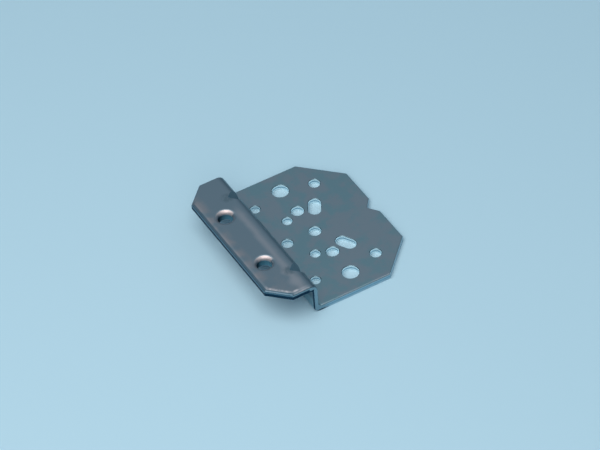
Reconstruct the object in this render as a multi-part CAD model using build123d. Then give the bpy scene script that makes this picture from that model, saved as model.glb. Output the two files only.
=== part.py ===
from build123d import *
import os
from math import cos, radians, sin, tan

os.makedirs("parts", exist_ok=True)

# Offset bracket stamped and folded from one steel sheet. Millimetres, +Z up.
# The origin is on the axis of the centre hole, on the underside of the plate.
# +X runs from the raised flange to the notched edge, and +Y along both bends.

# Sheet and folds
sheet = 2.3
bend_inside = 1.0
width = 70.0
rise = 11.5                    # plate top to flange top
plate_edge = 26.2              # centre hole to the notched edge
riser_face = -18.8             # the riser's face on the plate side
flange_edge = -37.0            # free edge of the flange

# Outline, cut before folding
plate_corner = 14.4            # 45 degree corner cuts of the plate
flange_corner = 7.6            # 45 degree corner cuts of the flange
corner_radius = 1.5
notch_half_width = 4.0
notch_depth = 3.1
notch_radius = 0.9
die_roll = 0.6                 # rounding that the punch leaves on the upper edges
rim_break = 0.2                # chamfer on the upper rims of the plate's holes

# Screw holes of the plate, on circles about the centre hole
outer_circle = 26.0
side_circle = 13.0
inner_circle = 12.0
centre_hole = 4.8
large_hole = 6.6
wide_hole = 5.0
middle_hole = 4.5
small_hole = 4.0
slot_circle = 13.3
slot_angle = 60.0
slot_width = 5.0
slot_travel = 3.5              # between the centres of the slot's round ends

# Drawn screw holes of the flange
drawn_x = -29.65
drawn_pitch = 29.0
drawn_bore = 5.8
drawn_rim = 1.5                # radius over which the flange turns down into the bore
drawn_depth = 4.3              # flange top to the lower rim
skirt_foot = 4.4               # outer radius of the lower rim
skirt_root = 5.6               # where the skirt leaves the flange's underside
foot_break = 0.35

# Stiffening darts pressed into the upper bend
dart_pitch = 46.0
dart_leg = 4.8                 # from the bend's virtual corner to the dart's tip
dart_half_angle = 52.0
dart_radius = 0.8

# Worked out from the values above
top = rise + sheet
bend_middle = bend_inside + sheet / 2
riser_middle = riser_face - sheet / 2
reach = 3 * width
nearly = 0.01


def folded_sheet():
    """The Z-shaped section, drawn along the middle of the sheet, at full width."""
    with BuildPart() as strip:
        with BuildSketch(Plane.XZ):
            with BuildLine():
                FilletPolyline(
                    (plate_edge + sheet, sheet / 2),
                    (riser_middle, sheet / 2),
                    (riser_middle, top - sheet / 2),
                    (flange_edge - sheet, top - sheet / 2),
                    radius=bend_middle,
                )
            trace(line_width=sheet)
        extrude(amount=width, both=True)
    return strip.part


def outline():
    """The blank's outline seen from above, with cut corners and the V notch."""
    side = width / 2
    half = [
        (flange_edge, side - flange_corner),
        (flange_edge + flange_corner, side),
        (plate_edge - plate_corner, side),
        (plate_edge, side - plate_corner),
        (plate_edge, notch_half_width),
    ]
    notch_tip = (plate_edge - notch_depth, 0)
    mirrored = [(x, -y) for x, y in reversed(half)]
    with BuildSketch() as plan:
        with BuildLine():
            Polyline(*half, notch_tip, *mirrored, close=True)
        make_face()
        tip = plan.vertices().sort_by_distance(notch_tip)[0]
        others = [v for v in plan.vertices() if v != tip]
        fillet(tip, radius=notch_radius)
        fillet(others, radius=corner_radius)
    return extrude(plan.sketch, amount=reach, both=True)


def roll_outline(blank):
    """Rounds the upper outline all the way round, as the punch leaves it."""
    skin = []
    for face in blank.faces():
        normal = face.normal_at()
        upper = normal.Z > -nearly and normal.X > -nearly and abs(normal.Y) < nearly
        if upper and face.center().X < plate_edge - notch_depth:
            skin.append(face)
    edges = [edge for face in skin for edge in face.edges()]
    outer = [edge for edge in edges if edges.count(edge) == 1]
    return blank.fillet(die_roll, outer)


def break_hole_rims(plate):
    """Takes the sharp edge off the upper rims of the plate's holes."""
    level = [face for face in plate.faces().filter_by(Axis.Z) if abs(face.center().Z - sheet) < nearly]
    rims = [edge for face in level for wire in face.inner_wires() for edge in wire.edges()]
    return plate.chamfer(rim_break, rim_break, rims)


def polar(radius, angle):
    """A place on a circle about the centre hole."""
    return (radius * cos(radians(angle)), radius * sin(radians(angle)))


def plate_holes():
    """Punches for the plate: round holes and two radial slots, alike on both sides."""
    paired = [
        (large_hole, outer_circle, 90),
        (middle_hole, outer_circle, 60),
        (small_hole, outer_circle, 120),
        (wide_hole, side_circle, 90),
        (small_hole, inner_circle, 120),
    ]
    with BuildSketch() as punches:
        Circle(centre_hole / 2)
        with Locations(polar(inner_circle, 180)):
            Circle(middle_hole / 2)
        for diameter, circle, angle in paired:
            with Locations(polar(circle, angle), polar(circle, -angle)):
                Circle(diameter / 2)
        for angle in (slot_angle, -slot_angle):
            with Locations(Location((*polar(slot_circle, angle), 0), (0, 0, angle))):
                SlotCenterToCenter(slot_travel, slot_width)
    return extrude(punches.sketch, amount=sheet + bend_inside / 2)


def drawn_skirt():
    """The collar that the draw punch leaves under the flange, as a solid of revolution."""
    buried = sheet / 2
    rim = skirt_root + 0.6
    with BuildPart() as skirt:
        with BuildSketch(Plane.XZ) as half_section:
            with BuildLine():
                Polyline(
                    (0, -drawn_depth),
                    (skirt_foot, -drawn_depth),
                    (skirt_root, -sheet),
                    (rim, -sheet),
                    (rim, -buried),
                    (0, -buried),
                    close=True,
                )
            make_face()
            foot = half_section.vertices().sort_by_distance((skirt_foot, -drawn_depth))[0]
            chamfer(foot, length=foot_break)
        revolve(axis=Axis.Z)
    return skirt.part


def drawn_opening():
    """The rounded mouth and the bore of a drawn hole, as the space to cut away."""
    bore = drawn_bore / 2
    clear = bore + 2 * drawn_rim
    with BuildPart() as opening:
        with BuildSketch(Plane.XZ) as half_section:
            with BuildLine():
                Polyline(
                    (0, 1),
                    (clear, 1),
                    (clear, 0),
                    (bore, 0),
                    (bore, -drawn_depth - 1),
                    (0, -drawn_depth - 1),
                    close=True,
                )
            make_face()
            lip = half_section.vertices().sort_by_distance((bore, 0))[0]
            fillet(lip, radius=drawn_rim)
        revolve(axis=Axis.Z)
    return opening.part


def dart_wedge(grow):
    """A rounded V along the 45 degree line of a dart, grown outwards by a thickness."""
    across = Plane(
        origin=(riser_face - dart_leg / 2, 0, top - dart_leg / 2),
        x_dir=(0, 1, 0),
        z_dir=(1, 0, -1),
    )
    slope = radians(dart_half_angle)
    radius = dart_radius + grow
    tip = dart_radius - radius / sin(slope)
    mouth = dart_leg + grow
    half_mouth = (mouth - tip) * tan(slope)
    with BuildPart() as wedge:
        with BuildSketch(across) as section:
            with BuildLine():
                Polyline((0, tip), (half_mouth, mouth), (-half_mouth, mouth), close=True)
            make_face()
            fillet(section.vertices().sort_by(Axis.Y)[0], radius=radius)
        extrude(amount=2 * dart_leg, both=True)
    return wedge.part


def under_bend():
    """The corner between the flange's underside and the riser, where dart ribs stand."""
    size = 4 * dart_leg
    corner_x = riser_face - sheet / 2 - size / 2
    corner_z = top - sheet / 2 - size / 2
    return Pos(corner_x, 0, corner_z) * Box(size, width, size)


def offset_bracket():
    """The whole stamping."""
    bracket = roll_outline(folded_sheet() & outline())
    bracket = break_hole_rims(bracket - plate_holes())
    for side in (-1, 1):
        spot = Pos(drawn_x, side * drawn_pitch / 2, top)
        bracket += spot * drawn_skirt()
        bracket -= spot * drawn_opening()
    rib = dart_wedge(sheet) & under_bend()
    for side in (-1, 1):
        spot = Pos(0, side * dart_pitch / 2, 0)
        bracket += spot * rib
        bracket -= spot * dart_wedge(0)
    return bracket


export_step(offset_bracket(), "parts/offset_bracket.step")
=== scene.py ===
import math

import bpy
from mathutils import Matrix, Vector

mm = 0.001


def linearColour(hexCode):  # sRGB hex to the linear values that shaders take, with a full alpha
    parts = [int(hexCode[i:i + 2], 16) / 255 for i in (1, 3, 5)]
    return tuple(c / 12.92 if c <= 0.04045 else ((c + 0.055) / 1.055) ** 2.4 for c in parts) + (1.0,)


# adds a node, sets its settings and feeds its sockets, each with a value, a socket or a whole node
def addNode(tree, kind, feeds=None, **settings):
    node = tree.nodes.new(kind)
    for name, value in settings.items():
        setattr(node, name, value)
    for name, value in (feeds or {}).items():
        if isinstance(value, bpy.types.Node):
            value = next(output for output in value.outputs if output.enabled)
        if isinstance(value, bpy.types.NodeSocket):
            tree.links.new(value, node.inputs[name])
        else:
            node.inputs[name].default_value = value
    return node


def newMaterial(name):
    material = bpy.data.materials.new(name)
    material.use_nodes = True
    material.node_tree.nodes.clear()
    return material, material.node_tree


def skyPoint(look):  # the direction in which a camera or lamp stands; azimuth 0 is towards -Y
    azimuth = math.radians(look["azimuth"])
    elevation = math.radians(look["elevation"])
    return Vector((
        math.sin(azimuth) * math.cos(elevation),
        -math.cos(azimuth) * math.cos(elevation),
        math.sin(elevation),
    ))


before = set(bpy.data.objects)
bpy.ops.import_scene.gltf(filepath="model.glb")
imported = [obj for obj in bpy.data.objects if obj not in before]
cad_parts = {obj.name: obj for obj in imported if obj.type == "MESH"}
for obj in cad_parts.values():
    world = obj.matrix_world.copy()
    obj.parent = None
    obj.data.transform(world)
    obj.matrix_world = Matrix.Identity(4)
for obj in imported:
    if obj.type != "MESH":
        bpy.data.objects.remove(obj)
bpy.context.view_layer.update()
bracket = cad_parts["offset_bracket"]
print("frame loaded")

viewSettings = {
    "azimuth": -27.471,  # degrees
    "elevation": 44.163,
    "roll": -4.176,
    "distance": 1.3183,  # metres
    "lens": 210.0,  # mm, as is the sensor's width
    "sensor": 36.0,
    "nearest": 0.05,  # metres; what lies outside these two is cut off
    "farthest": 20.0,
    "target": (-2.672 * mm, 6.604 * mm, 1.470 * mm),
}


def placeCamera(look):
    back = skyPoint(look)
    roll = math.radians(look["roll"])
    level = (-back).cross(Vector((0, 0, 1))).normalized()
    upright = back.cross(level)
    right = level * math.cos(roll) + upright * math.sin(roll)
    up = upright * math.cos(roll) - level * math.sin(roll)
    data = bpy.data.cameras.new("bracketCamera")
    data.lens = look["lens"]
    data.sensor_width = look["sensor"]
    data.clip_start = look["nearest"]
    data.clip_end = look["farthest"]
    camera = bpy.data.objects.new("bracketCamera", data)
    turn = Matrix((right, up, back)).transposed().to_4x4()
    camera.matrix_world = Matrix.Translation(Vector(look["target"]) + back * look["distance"]) @ turn
    bpy.context.scene.collection.objects.link(camera)
    bpy.context.scene.camera = camera


placeCamera(viewSettings)
print("camera placed")

sheetPlan = {  # mm, the bracket's own sizes
    "sheet": 2.3,
    "top": 13.8,  # upper face of the flange
    "riserFace": -18.8,  # the riser's side that looks over the plate
    "plateEnd": 26.2,
    "flangeEnd": -37.0,
    "side": 35.0,  # half the width
    "plateCorner": 14.4,  # how far each 45 degree cut takes off both edges
    "flangeCorner": 7.6,
    "notchDepth": 3.1,
    "notchHalfWidth": 4.0,
    "drawnHole": (-29.65, 14.5, 0.0),  # its twin is on the other side of the middle
}
steelLook = {
    "plain": "#90B1BB",  # the plate; its blue is partly the zinc's own and partly a painted reflection of blue surroundings
    "hazy": "#A4AFB9",  # clouds on the plate
    "cool": "#92A5B1",  # the flange
    "warm": "#B2B1B6",  # clouds on the flange, partly the plating's pink and partly a painted sheen where the flange's outer edge and near end catch the lamps
    "pressed": "#BCBFC6",  # the folding tool's mark
    "edgeGlint": "#EFE9EC",  # painted glints along the rounded edge by the near corner
    "rolledShade": "#4E6E80",  # painted shade on the rounded skin beside a cut
    "foldShade": "#748A95",  # painted shade on the outside of the fold and in the darts
    "litLip": "#CFC7C8",  # the drawn lips of the flange's holes, painted bright as a highlight on the side that faces the lamps
    # painted shade: the bores darker than the plain metal
    "bore": "#5C8A9A",
    "boreShade": "#1C3848",  # the bore's side that faces the riser and turns away from the lamps
    "rimShade": "#64808C",  # the narrow broken edge round the plate's holes, painted as a dark ring of shade
    "burnished": "#E2EDF0",  # the plate's punched walls
    "shadedOuterWall": "#A3BBC7",  # the plate's outer walls, painted darker than its hole walls as shade
    "breakLine": "#7C9FB0",  # where the punch's cut stops and the tear starts
    "shadedShear": "#5F7E8E",  # the flange's walls, painted dark with the shade under the flange that they face
    "litShear": "#869FAA",  # the walls across the fold, painted a lighter teal than the flange's walls as a reflection of the lit floor
    "shadedTear": "#183A50",  # the torn lower part of a wall: rough, and painted near black with the shade under the flange
    "roughness": 0.37,
    "rolledRoughness": 0.5,
    "drawnRoughness": 0.56,
    "wallRoughness": 0.15,
    "fractureRoughness": 0.6,
    "grainGloss": 0.1,  # how much the roughness varies from crystal to crystal
    # sizes and places from here on are in mm
    "grain": 0.35,  # between crystals, coarser than the real 0.05 mm so that they show
    "grainHeight": 0.004,
    "spark": 1.3,  # between the painted glints along an edge, and the breaks in the dart shade
    "haze": 7.0,  # across a cloud of the plating
    "tearWander": 0.6,  # how far the start of a tear strays up and down
    "rollWidth": 2.2,  # the strip of skin that bends down beside a cut
    "rollDepth": 0.25,
    "markCentre": -24.2,  # the pressure mark that the folding tool leaves along the flange
    "markWidth": 2.3,
    "markWander": 2.0,  # how widely the mark strays, from side to side
    "markSwerve": 1.6,  # how far the mark swings out round a dart
    "markHeight": 0.02,
    "dartAt": 23.0,
    "dartSpread": 3.2,
    "patchAt": (-25.0, -29.0, 13.8),  # a brighter place on the flange's near end
    "glintAt": (-27.2, -33.5, 13.8),  # a painted highlight just inside the flange's near corner
    "cornerShadeAt": (-29.8, -34.4, 13.6),  # a spot of the near corner's rounded edge painted in the same shade, to damp its highlight
    "dartTipAt": (-24.0, 23.0, 0.0),  # painted shade, broken up by noise, round the tip of each dart
}


def zincPlatedSteel(plan, look):
    # rolled steel with thin clear-blue zinc: a soft cool sheen clouded with pink, its blue partly the
    # zinc's own and partly a painted reflection, burnished bright where it was punched, with painted
    # highlights on the drawn lips and corner and painted shade on the cut walls, fold, darts and bores
    material, tree = newMaterial("zincPlatedSteel")
    coordinates = addNode(tree, "ShaderNodeTexCoord").outputs["Object"]
    inMm = addNode(tree, "ShaderNodeVectorMath", {0: coordinates, "Scale": 1 / mm}, operation="SCALE")
    point = addNode(tree, "ShaderNodeSeparateXYZ", {0: inMm})
    x, y, z = (point.outputs[i] for i in range(3))
    aside = addNode(tree, "ShaderNodeMath", {0: y}, operation="ABSOLUTE")
    folded = addNode(tree, "ShaderNodeCombineXYZ", {0: x, 1: aside, 2: 1.0})  # 1 takes up a line's offset
    flat = addNode(tree, "ShaderNodeCombineXYZ", {0: x, 1: aside})
    surface = addNode(tree, "ShaderNodeNewGeometry")
    normal = addNode(tree, "ShaderNodeSeparateXYZ", {0: surface.outputs["Normal"]})
    slope = addNode(tree, "ShaderNodeMath", {0: normal.outputs[2]}, operation="ABSOLUTE")
    sideways = addNode(tree, "ShaderNodeMath", {0: normal.outputs[1]}, operation="ABSOLUTE")
    haze = addNode(tree, "ShaderNodeTexNoise",
                   {"Vector": inMm, "Scale": 1 / look["haze"], "Detail": 4.0, "Roughness": 0.55})
    grain = addNode(tree, "ShaderNodeTexNoise",
                    {"Vector": inMm, "Scale": 1 / look["grain"], "Detail": 2.0})
    spark = addNode(tree, "ShaderNodeTexNoise",
                    {"Vector": inMm, "Scale": 1 / look["spark"], "Detail": 2.0})

    # how far in from the outline, seen from above: the least distance to its straight sides and notch
    diagonal = math.sqrt(0.5)
    notchLength = math.hypot(plan["notchDepth"], plan["notchHalfWidth"])
    notchAlong = plan["notchHalfWidth"] / notchLength
    notchAcross = plan["notchDepth"] / notchLength
    sides = (
        (1, 0, -plan["flangeEnd"]),  # the inward direction of each side, and its offset
        (-1, 0, plan["plateEnd"]),
        (0, -1, plan["side"]),
        (diagonal, -diagonal, (plan["side"] - plan["flangeEnd"] - plan["flangeCorner"]) * diagonal),
        (-diagonal, -diagonal, (plan["side"] + plan["plateEnd"] - plan["plateCorner"]) * diagonal),
        (-notchAlong, notchAcross, (plan["plateEnd"] - plan["notchDepth"]) * notchAlong),
    )
    inward = addNode(tree, "ShaderNodeValue")
    inward.outputs[0].default_value = plan["side"]
    for side in sides:
        toSide = addNode(tree, "ShaderNodeVectorMath", {0: folded, 1: side}, operation="DOT_PRODUCT")
        inward = addNode(tree, "ShaderNodeMath", {0: inward, 1: toSide}, operation="MINIMUM")
    toDrawn = addNode(tree, "ShaderNodeVectorMath", {0: flat, 1: plan["drawnHole"]}, operation="DISTANCE")
    toPatch = addNode(tree, "ShaderNodeVectorMath", {0: inMm, 1: look["patchAt"]}, operation="DISTANCE")
    toGlint = addNode(tree, "ShaderNodeVectorMath", {0: inMm, 1: look["glintAt"]}, operation="DISTANCE")
    toCornerShade = addNode(tree, "ShaderNodeVectorMath", {0: inMm, 1: look["cornerShadeAt"]}, operation="DISTANCE")
    toDartTip = addNode(tree, "ShaderNodeVectorMath", {0: flat, 1: look["dartTipAt"]}, operation="DISTANCE")

    # how deep under the upper skin a point of a cut wall lies, from the flange, the riser or the plate
    belowTop = addNode(tree, "ShaderNodeMath", {0: plan["top"], 1: z}, operation="SUBTRACT")
    belowPlate = addNode(tree, "ShaderNodeMath", {0: plan["sheet"], 1: z}, operation="SUBTRACT")
    behindRiser = addNode(tree, "ShaderNodeMath", {0: plan["riserFace"], 1: x}, operation="SUBTRACT")
    low = addNode(tree, "ShaderNodeMath", {0: belowPlate, 1: behindRiser}, operation="MAXIMUM")
    depth = addNode(tree, "ShaderNodeMath", {0: low, 1: belowTop}, operation="MINIMUM")
    ragged = addNode(tree, "ShaderNodeMath", {0: grain, 1: look["tearWander"], 2: depth},
                     operation="MULTIPLY_ADD")

    # distance from the pressure mark, which swerves round the darts and wanders a little
    toDart = addNode(tree, "ShaderNodeMath", {0: aside, 1: look["dartAt"]}, operation="SUBTRACT")
    toDart = addNode(tree, "ShaderNodeMath", {0: toDart}, operation="ABSOLUTE")
    swingFeeds = {
        "Value": toDart,
        "From Min": look["dartSpread"],
        "From Max": 0.0,
        "To Max": look["markSwerve"],
    }
    swing = addNode(tree, "ShaderNodeMapRange", swingFeeds, interpolation_type="SMOOTHSTEP")
    markMiddle = look["markCentre"] + look["markWander"] / 2
    offMark = addNode(tree, "ShaderNodeMath", {0: x, 1: swing}, operation="ADD")
    offMark = addNode(tree, "ShaderNodeMath", {0: haze, 1: look["markWander"], 2: offMark},
                      operation="MULTIPLY_ADD")
    offMark = addNode(tree, "ShaderNodeMath", {0: offMark, 1: markMiddle}, operation="SUBTRACT")
    offMark = addNode(tree, "ShaderNodeMath", {0: offMark}, operation="ABSOLUTE")

    # what is measured, where its mask is 0 and where it is 1: places and distances in mm,
    # and the parts of the surface's normal from -1 to 1
    ranges = {
        "wall": (slope, 0.65, 0.4),
        "bent": (slope, 0.97, 0.86),
        "upward": (normal.outputs[2], 0.3, 0.4),
        "farSide": (normal.outputs[1], 0.05, -0.15),
        "facingRiser": (normal.outputs[0], 0.0, 0.6),
        "offRiserSide": (normal.outputs[0], 0.65, 0.15),
        "acrossFold": (sideways, 0.75, 0.9),
        "offSides": (aside, 34.3, 33.7),
        "nearSides": (y, 28.5, 26.5),
        "pastRiser": (x, -17.2, -16.8),
        "beforeRiser": (x, -22.0, -22.5),
        "overFold": (x, -17.5, -20.5),
        "flangeSide": (x, -15.0, -24.0),
        "nearHalf": (y, 32.0, 22.0),
        "atEdge": (inward, look["rollWidth"], 0.0),
        "byRiser": (x, -14.0, -18.0),
        "besideFold": (x, -24.9, -24.3),
        "lowDown": (z, 2.5, 2.4),
        "raised": (z, 9.0, 10.0),
        "aboveFoot": (z, 6.0, 8.0),
        "upperFace": (z, 13.65, 13.75),
        "offEnds": (inward, 0.0, 0.3),
        "nearCut": (inward, 0.4, 0.3),
        "inside": (inward, 1.5, 2.0),
        "rolledShade": (inward, 1.25, 0.85),
        "glintOuter": (inward, 1.0, 1.4),
        "glintInner": (inward, 2.4, 1.8),
        "offDrawn": (toDrawn, 4.9, 5.1),
        "byDrawn": (toDrawn, 5.4, 4.9),
        "inBore": (belowTop, 1.35, 2.0),
        "torn": (ragged, 1.1, 1.3),
        "tornLate": (ragged, 1.9, 2.1),
        "breakStart": (depth, 0.8, 1.0),
        "breakEnd": (depth, 1.5, 1.3),
        "mark": (offMark, look["markWidth"], 0.0),
        "markEnd": (y, 19.0, 12.0),
        "freeEdge": (x, -31.5, -35.0),
        "nearEnd": (y, -16.0, -30.0),
        "cutCorner": (y, -24.0, -28.0),
        "cloudy": (haze, 0.38, 0.6),
        "sparkling": (spark, 0.3, 0.65),
        "offEdge": (x, -28.0, -29.5),
        "patch": (toPatch, 3.6, 0.5),
        "atGlint": (toGlint, 1.6, 0.3),
        "corner": (toCornerShade, 1.6, 0.8),
        "nearDartTip": (toDartTip, 3.4, 1.0),
    }
    masks = {}
    for name, (value, start, end) in ranges.items():
        span = {"Value": value, "From Min": start, "From Max": end}
        masks[name] = addNode(tree, "ShaderNodeMapRange", span, interpolation_type="SMOOTHSTEP")

    zones = {  # a zone is where all of its masks meet
        "plateRim": ("bent", "pastRiser", "inside"),
        "plateWall": ("wall", "pastRiser", "lowDown"),
        "plateOuter": ("plateWall", "nearCut"),
        "plateBreak": ("plateWall", "breakStart", "breakEnd"),
        "plateClouds": ("cloudy", "pastRiser"),
        "onFlange": ("beforeRiser", "raised"),
        "flangeSkin": ("overFold", "raised"),
        "bentDown": ("atEdge", "flangeSide", "nearHalf"),
        "flangeWall": ("wall", "onFlange", "offDrawn"),
        "flangeTorn": ("flangeWall", "torn"),
        "endWall": ("wall", "nearCut", "byRiser", "acrossFold"),
        "endTorn": ("endWall", "tornLate"),
        "shadedRolledEdge": ("rolledShade", "upward", "offSides", "nearSides", "onFlange"),
        "edgeGlint": ("glintInner", "glintOuter", "upward", "sparkling", "cutCorner", "offEdge"),
        "litLipSide": ("byDrawn", "onFlange", "bent", "farSide", "offRiserSide"),
        "bore": ("byDrawn", "onFlange", "inBore"),
        "boreShade": ("bore", "facingRiser"),
        "foldShading": ("bent", "besideFold", "aboveFoot", "offEnds"),
        "pressed": ("mark", "markEnd", "upperFace"),
        "cornerGlint": ("atGlint", "glintInner", "glintOuter", "upward"),
        "dartShade": ("nearDartTip", "sparkling", "onFlange"),
        "warmEdge": ("freeEdge", "cloudy", "onFlange"),
        "warmEnd": ("nearEnd", "cloudy", "onFlange"),
    }
    for name, parts in zones.items():
        shared = masks[parts[0]]
        for part in parts[1:]:
            shared = addNode(tree, "ShaderNodeMath", {0: shared, 1: masks[part]}, operation="MULTIPLY")
        masks[name] = shared

    layers = (  # zone, colour, roughness, strength: each covers the ones before it
        ("plateClouds", "hazy", "roughness", 0.8),
        ("flangeSkin", "cool", "roughness", 1.0),
        # painted sheen, with the plating's pink, on the flange's outer edge and near end
        ("warmEdge", "warm", "roughness", 1.0),
        ("warmEnd", "warm", "roughness", 0.3),
        ("pressed", "pressed", "roughness", 0.8),
        # painted shade round each dart's tip, in the fold's colour
        ("dartShade", "foldShade", "roughness", 0.65),
        ("patch", "pressed", "roughness", 0.8),
        # painted shade on the rounded skin beside the flange's cuts, but not at the far end
        ("shadedRolledEdge", "rolledShade", "rolledRoughness", 0.9),
        # the same painted shade on a spot of the near corner
        ("corner", "rolledShade", "rolledRoughness", 0.9),
        # painted highlight, broken into glints, on a strip inside the flange's near corner cut
        ("edgeGlint", "edgeGlint", "roughness", 0.7),
        # painted highlight just inside the near corner
        ("cornerGlint", "edgeGlint", "roughness", 1.0),
        # painted highlight on the lips' side that faces the lamps
        ("litLipSide", "litLip", "drawnRoughness", 1.0),
        # painted shade inside the bores
        ("bore", "bore", "drawnRoughness", 1.0),
        ("boreShade", "boreShade", "drawnRoughness", 1.0),
        # painted shade on the outside of the fold and in the darts
        ("foldShading", "foldShade", "roughness", 1.0),
        # painted shade on the rims of the plate's holes
        ("plateRim", "rimShade", "roughness", 1.0),
        ("plateWall", "burnished", "wallRoughness", 1.0),
        # painted shade on the plate's outer walls
        ("plateOuter", "shadedOuterWall", "wallRoughness", 1.0),
        ("plateBreak", "breakLine", "wallRoughness", 1.0),
        # painted shade on the flange's walls
        ("flangeWall", "shadedShear", "wallRoughness", 1.0),
        # painted reflection on the walls across the fold
        ("endWall", "litShear", "wallRoughness", 1.0),
        # the rough tear, painted near black with the shade under the flange
        ("flangeTorn", "shadedTear", "fractureRoughness", 1.0),
        ("endTorn", "shadedTear", "fractureRoughness", 1.0),
    )
    colour = linearColour(look["plain"])
    roughness = look["roughness"]
    for zone, paint, gloss, strength in layers:
        cover = addNode(tree, "ShaderNodeMath", {0: masks[zone], 1: strength}, operation="MULTIPLY")
        colour = addNode(tree, "ShaderNodeMix", {0: cover, 6: colour, 7: linearColour(look[paint])},
                         data_type="RGBA")
        roughness = addNode(tree, "ShaderNodeMix", {0: cover, 2: roughness, 3: look[gloss]},
                            data_type="FLOAT")
    roughness = addNode(tree, "ShaderNodeMath", {0: grain, 1: look["grainGloss"], 2: roughness},
                        operation="MULTIPLY_ADD")
    roughness = addNode(tree, "ShaderNodeMath", {0: roughness, 1: look["grainGloss"] / 2},
                        operation="SUBTRACT")

    # relief in mm: the skin bends down beside a cut, the mark stands up a little, crystals cover it all
    bend = addNode(tree, "ShaderNodeMath", {0: masks["bentDown"], 1: -look["rollDepth"]},
                   operation="MULTIPLY")
    height = addNode(tree, "ShaderNodeMath", {0: masks["pressed"], 1: look["markHeight"], 2: bend},
                     operation="MULTIPLY_ADD")
    height = addNode(tree, "ShaderNodeMath", {0: grain, 1: look["grainHeight"], 2: height},
                     operation="MULTIPLY_ADD")
    bump = addNode(tree, "ShaderNodeBump", {"Height": height, "Strength": 1.0, "Distance": mm})
    shader = addNode(tree, "ShaderNodeBsdfPrincipled",
                     {"Base Color": colour, "Roughness": roughness, "Normal": bump, "Metallic": 1.0})
    addNode(tree, "ShaderNodeOutputMaterial", {"Surface": shader})
    return material


bracket.data.materials.clear()
bracket.data.materials.append(zincPlatedSteel(sheetPlan, steelLook))
print("bracket dressed")

floorLook = {
    "colour": "#A9CFE1",
    "size": 6.0,  # metres
    "roughness": 0.8,
}


def makeFloor(look):
    half = look["size"] / 2
    mesh = bpy.data.meshes.new("floor")
    corners = [(-half, -half, 0), (half, -half, 0), (half, half, 0), (-half, half, 0)]
    mesh.from_pydata(corners, [], [(0, 1, 2, 3)])
    floor = bpy.data.objects.new("floor", mesh)
    bpy.context.scene.collection.objects.link(floor)
    material, tree = newMaterial("mattPaper")  # a matt sheet: no shine, only the soft shadow shows on it
    shader = addNode(tree, "ShaderNodeBsdfPrincipled",
                     {"Base Color": linearColour(look["colour"]), "Roughness": look["roughness"]})
    addNode(tree, "ShaderNodeOutputMaterial", {"Surface": shader})
    mesh.materials.append(material)


makeFloor(floorLook)

lightRig = {  # degrees, metres and watts
    "key": {  # high on the left, where the plate doesn't mirror it
        "azimuth": -65.0,
        "elevation": 68.0,
        "distance": 0.9,
        "size": 1.0,
        "power": 6.9,
        "colour": "#FFF2EA",
    },
    "fill": {  # low in front, for the walls and the lips
        "azimuth": -32.0,
        "elevation": 30.0,
        "distance": 1.2,
        "size": 1.0,
        "power": 4.6,
        "colour": "#FFF2EA",
    },
    "room": {
        "low": "#6F8797",  # at the horizon
        "high": "#AFC2CE",  # overhead
        "strength": 0.7,
    },
}


def softBox(name, look):
    data = bpy.data.lights.new(name, "AREA")
    data.shape = "DISK"
    data.size = look["size"]
    data.energy = look["power"]
    data.color = linearColour(look["colour"])[:3]
    lamp = bpy.data.objects.new(name, data)
    lamp.location = skyPoint(look) * look["distance"]
    lamp.rotation_euler = skyPoint(look).to_track_quat("Z", "Y").to_euler()
    bpy.context.scene.collection.objects.link(lamp)


def lightRoom(look):
    world = bpy.data.worlds.new("room")
    world.use_nodes = True
    tree = world.node_tree
    sky = addNode(tree, "ShaderNodeTexCoord").outputs["Generated"]
    direction = addNode(tree, "ShaderNodeSeparateXYZ", {0: sky})
    upward = addNode(tree, "ShaderNodeMapRange", {"Value": direction.outputs[2]},
                     interpolation_type="SMOOTHSTEP")
    shades = {0: upward, 6: linearColour(look["low"]), 7: linearColour(look["high"])}
    shade = addNode(tree, "ShaderNodeMix", shades, data_type="RGBA")
    background = tree.nodes["Background"]
    background.inputs["Strength"].default_value = look["strength"]
    tree.links.new(shade.outputs[2], background.inputs["Color"])
    bpy.context.scene.world = world


softBox("keyBox", lightRig["key"])
softBox("fillBox", lightRig["fill"])
lightRoom(lightRig["room"])
bpy.context.scene.view_settings.view_transform = "Standard"
print("floor and lights set")
